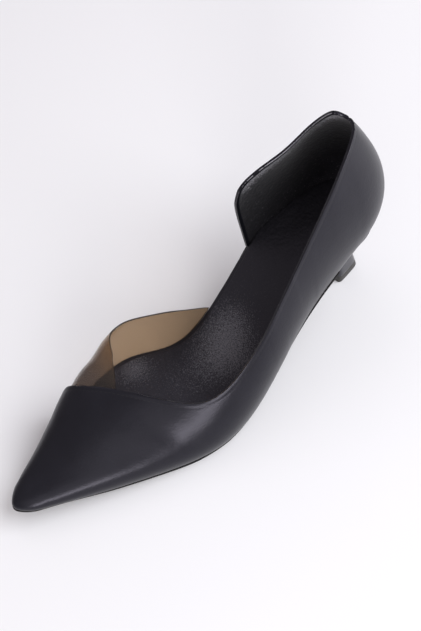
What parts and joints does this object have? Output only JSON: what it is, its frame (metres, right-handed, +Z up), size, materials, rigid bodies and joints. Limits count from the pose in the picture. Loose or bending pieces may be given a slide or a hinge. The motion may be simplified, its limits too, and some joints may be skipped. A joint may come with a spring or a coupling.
{
  "type": "open-waist pump",
  "caption": "Left pointed-toe pump with an open inner waist, a smoky clear panel on the inner ball side and a flared spool heel.",
  "frame": {"origin": "middle of the shoe's box, on the floor it stands on", "axes": "+X to the toe, +Y to the wearer's left, which is the outer side of this left shoe, +Z up"},
  "size_m": [0.2452, 0.08, 0.1284],
  "materials": {
    "upper_leather": "smooth black leather, satin",
    "smoky_film": "smoky brown clear film",
    "sock_leather": "fine grained black leather",
    "sole": "black, matt",
    "heel_cover": "smooth black leather, satin",
    "lift_plastic": "dark warm grey, matt"
  },
  "bodies": {
    "root": {"upper": "upper_leather", "vinyl_panel": "smoky_film", "insole": "sock_leather", "outsole": "sole", "heel": "heel_cover", "top_piece": "lift_plastic"}
  },
  "joints": []
}
